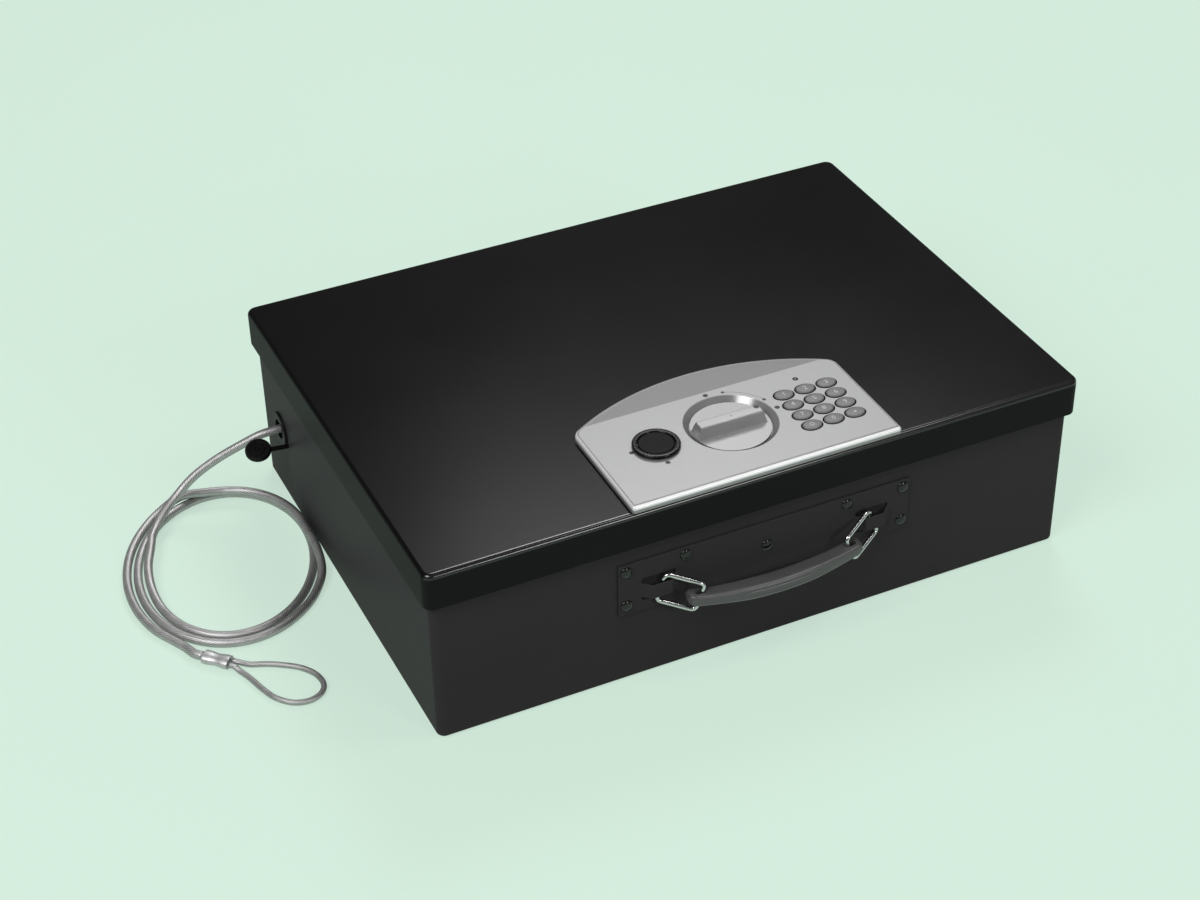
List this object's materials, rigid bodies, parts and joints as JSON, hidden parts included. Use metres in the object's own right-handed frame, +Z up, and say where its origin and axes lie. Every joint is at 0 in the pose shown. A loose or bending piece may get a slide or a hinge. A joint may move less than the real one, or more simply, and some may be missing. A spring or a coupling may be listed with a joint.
{
  "type": "portable car safe",
  "caption": "Low black steel security box with a rear-hinged lid, silver keypad and dial panel, drop handle on wire rings and a coiled steel tether cable.",
  "frame": {"origin": "middle of the body's footprint, on the surface it stands on", "axes": "+X to the right along the front, +Y to the hinged back, +Z up; the handle is on the -Y side"},
  "size_m": [0.4742, 0.2863, 0.1142],
  "materials": {
    "black_enamel": "satin black baked enamel with a faint grain",
    "satin_silver": "satin silver paint on moulded plastic",
    "key_grey": "satin grey moulded keys with pale numbers",
    "black_plastic": "black moulded plastic",
    "lamp_lens": "dark unlit lamp lens",
    "grip_plastic": "charcoal plastic, ribbed lengthwise",
    "chrome_wire": "bright chrome plated wire",
    "plated_steel": "zinc plated steel",
    "brass": "turned brass",
    "cable_steel": "steel strand seen through a thin clear sleeve",
    "ferrule_aluminium": "bright pressed aluminium",
    "black_rubber": "black moulded rubber",
    "board_green": "green solder mask",
    "dome_film": "milky dome film",
    "battery_wrap": "plain wrapped dry cells"
  },
  "bodies": {
    "box": {"body_shell": "black_enamel", "rim_frame": "black_enamel", "hinge_body_leaf_left": "black_enamel", "hinge_body_leaf_right": "black_enamel", "hinge_pin_left": "plated_steel", "hinge_pin_right": "plated_steel", "handle_plate": "black_enamel", "handle_rivet_1": "black_enamel", "handle_rivet_2": "black_enamel", "handle_rivet_3": "black_enamel", "handle_rivet_4": "black_enamel", "handle_rivet_5": "black_enamel", "handle_rivet_6": "black_enamel", "handle_rivet_7": "black_enamel", "port_grommet": "black_rubber", "cable_stop": "plated_steel", "port_plug": "black_rubber", "cable_run": "cable_steel", "cable_coil": "cable_steel", "cable_ferrule": "ferrule_aluminium", "cable_eye": "cable_steel"},
    "lid": {"lid_shell": "black_enamel", "panel_bezel": "satin_silver", "keypad_board": "board_green", "dome_sheet": "dome_film", "status_lamp": "lamp_lens", "lock_rim": "black_plastic", "lock_barrel": "plated_steel", "bolt_guide": "plated_steel", "solenoid_body": "plated_steel", "lock_case": "black_plastic", "circuit_board": "board_green", "battery_1": "battery_wrap", "battery_2": "battery_wrap", "battery_3": "battery_wrap", "battery_4": "battery_wrap", "hinge_lid_leaf_left": "black_enamel", "hinge_lid_leaf_right": "black_enamel"},
    "dial": {"dial_knob": "satin_silver", "dial_spindle": "plated_steel"},
    "bolt": {"latch_bolt": "plated_steel"},
    "plunger": {"solenoid_plunger": "plated_steel"},
    "lock_core": {"lock_plug": "brass"},
    "key_cap": {"key_cap": "black_plastic"},
    "battery_door": {"battery_door": "black_plastic"},
    "key_1": {"key_1": "key_grey"},
    "key_2": {"key_2": "key_grey"},
    "key_3": {"key_3": "key_grey"},
    "key_4": {"key_4": "key_grey"},
    "key_5": {"key_5": "key_grey"},
    "key_6": {"key_6": "key_grey"},
    "key_7": {"key_7": "key_grey"},
    "key_8": {"key_8": "key_grey"},
    "key_9": {"key_9": "key_grey"},
    "key_10": {"key_10": "key_grey"},
    "key_11": {"key_11": "key_grey"},
    "key_12": {"key_12": "key_grey"},
    "grip": {"handle_grip": "grip_plastic"},
    "ring_left": {"handle_ring_left": "chrome_wire"},
    "ring_right": {"handle_ring_right": "chrome_wire"}
  },
  "joints": [
    {"name": "lid_hinge", "type": "hinge", "parent": "box", "child": "lid", "pos_m": [0, 0.1345, 0.0818], "axis": [-1, 0, 0], "range_deg": [0, 100]},
    {"name": "dial_turn", "type": "hinge", "parent": "lid", "child": "dial", "pos_m": [0.001, -0.0889, 0.11], "axis": [0, 0, 1], "range_deg": [0, 90]},
    {"name": "bolt_slide", "type": "slide", "parent": "lid", "child": "bolt", "axis": [0, -1, 0], "range_m": [0, 0.00848]},
    {"name": "plunger_slide", "type": "slide", "parent": "lid", "child": "plunger", "axis": [1, 0, 0], "range_m": [0, 0.004]},
    {"name": "lock_turn", "type": "hinge", "parent": "lid", "child": "lock_core", "pos_m": [-0.0418, -0.09, 0.1], "axis": [0, 0, 1], "range_deg": [0, 90]},
    {"name": "cap_pull", "type": "slide", "parent": "lid", "child": "key_cap", "axis": [0, 0, 1], "range_m": [0, 0.008]},
    {"name": "battery_door_pull", "type": "slide", "parent": "lid", "child": "battery_door", "axis": [0, 0, -1], "range_m": [0, 0.012]},
    {"name": "key_1_press", "type": "slide", "parent": "lid", "child": "key_1", "axis": [0, 0, -1], "range_m": [0, 0.0005], "stiffness_N_per_m": 400, "springref_m": -0.0003},
    {"name": "key_2_press", "type": "slide", "parent": "lid", "child": "key_2", "axis": [0, 0, -1], "range_m": [0, 0.0005], "stiffness_N_per_m": 400, "springref_m": -0.0003},
    {"name": "key_3_press", "type": "slide", "parent": "lid", "child": "key_3", "axis": [0, 0, -1], "range_m": [0, 0.0005], "stiffness_N_per_m": 400, "springref_m": -0.0003},
    {"name": "key_4_press", "type": "slide", "parent": "lid", "child": "key_4", "axis": [0, 0, -1], "range_m": [0, 0.0005], "stiffness_N_per_m": 400, "springref_m": -0.0003},
    {"name": "key_5_press", "type": "slide", "parent": "lid", "child": "key_5", "axis": [0, 0, -1], "range_m": [0, 0.0005], "stiffness_N_per_m": 400, "springref_m": -0.0003},
    {"name": "key_6_press", "type": "slide", "parent": "lid", "child": "key_6", "axis": [0, 0, -1], "range_m": [0, 0.0005], "stiffness_N_per_m": 400, "springref_m": -0.0003},
    {"name": "key_7_press", "type": "slide", "parent": "lid", "child": "key_7", "axis": [0, 0, -1], "range_m": [0, 0.0005], "stiffness_N_per_m": 400, "springref_m": -0.0003},
    {"name": "key_8_press", "type": "slide", "parent": "lid", "child": "key_8", "axis": [0, 0, -1], "range_m": [0, 0.0005], "stiffness_N_per_m": 400, "springref_m": -0.0003},
    {"name": "key_9_press", "type": "slide", "parent": "lid", "child": "key_9", "axis": [0, 0, -1], "range_m": [0, 0.0005], "stiffness_N_per_m": 400, "springref_m": -0.0003},
    {"name": "key_10_press", "type": "slide", "parent": "lid", "child": "key_10", "axis": [0, 0, -1], "range_m": [0, 0.0005], "stiffness_N_per_m": 400, "springref_m": -0.0003},
    {"name": "key_11_press", "type": "slide", "parent": "lid", "child": "key_11", "axis": [0, 0, -1], "range_m": [0, 0.0005], "stiffness_N_per_m": 400, "springref_m": -0.0003},
    {"name": "key_12_press", "type": "slide", "parent": "lid", "child": "key_12", "axis": [0, 0, -1], "range_m": [0, 0.0005], "stiffness_N_per_m": 400, "springref_m": -0.0003},
    {"name": "grip_lift", "type": "slide", "parent": "box", "child": "grip", "axis": [0, 0, 1], "range_m": [0, 0.0141]},
    {"name": "ring_left_swing", "type": "hinge", "parent": "box", "child": "ring_left", "pos_m": [-0.06, -0.13125, 0.056], "axis": [0, -1, 0], "range_deg": [0, 43]},
    {"name": "ring_right_swing", "type": "hinge", "parent": "box", "child": "ring_right", "pos_m": [0.062, -0.13125, 0.056], "axis": [0, 1, 0], "range_deg": [0, 43]}
  ],
  "couplings": [
    {"joint": "dial_turn", "follows": "bolt_slide", "rad_per_m": 185.1},
    {"joint": "ring_left_swing", "follows": "grip_lift", "rad_per_m": 53.2},
    {"joint": "ring_right_swing", "follows": "grip_lift", "rad_per_m": 53.2}
  ]
}
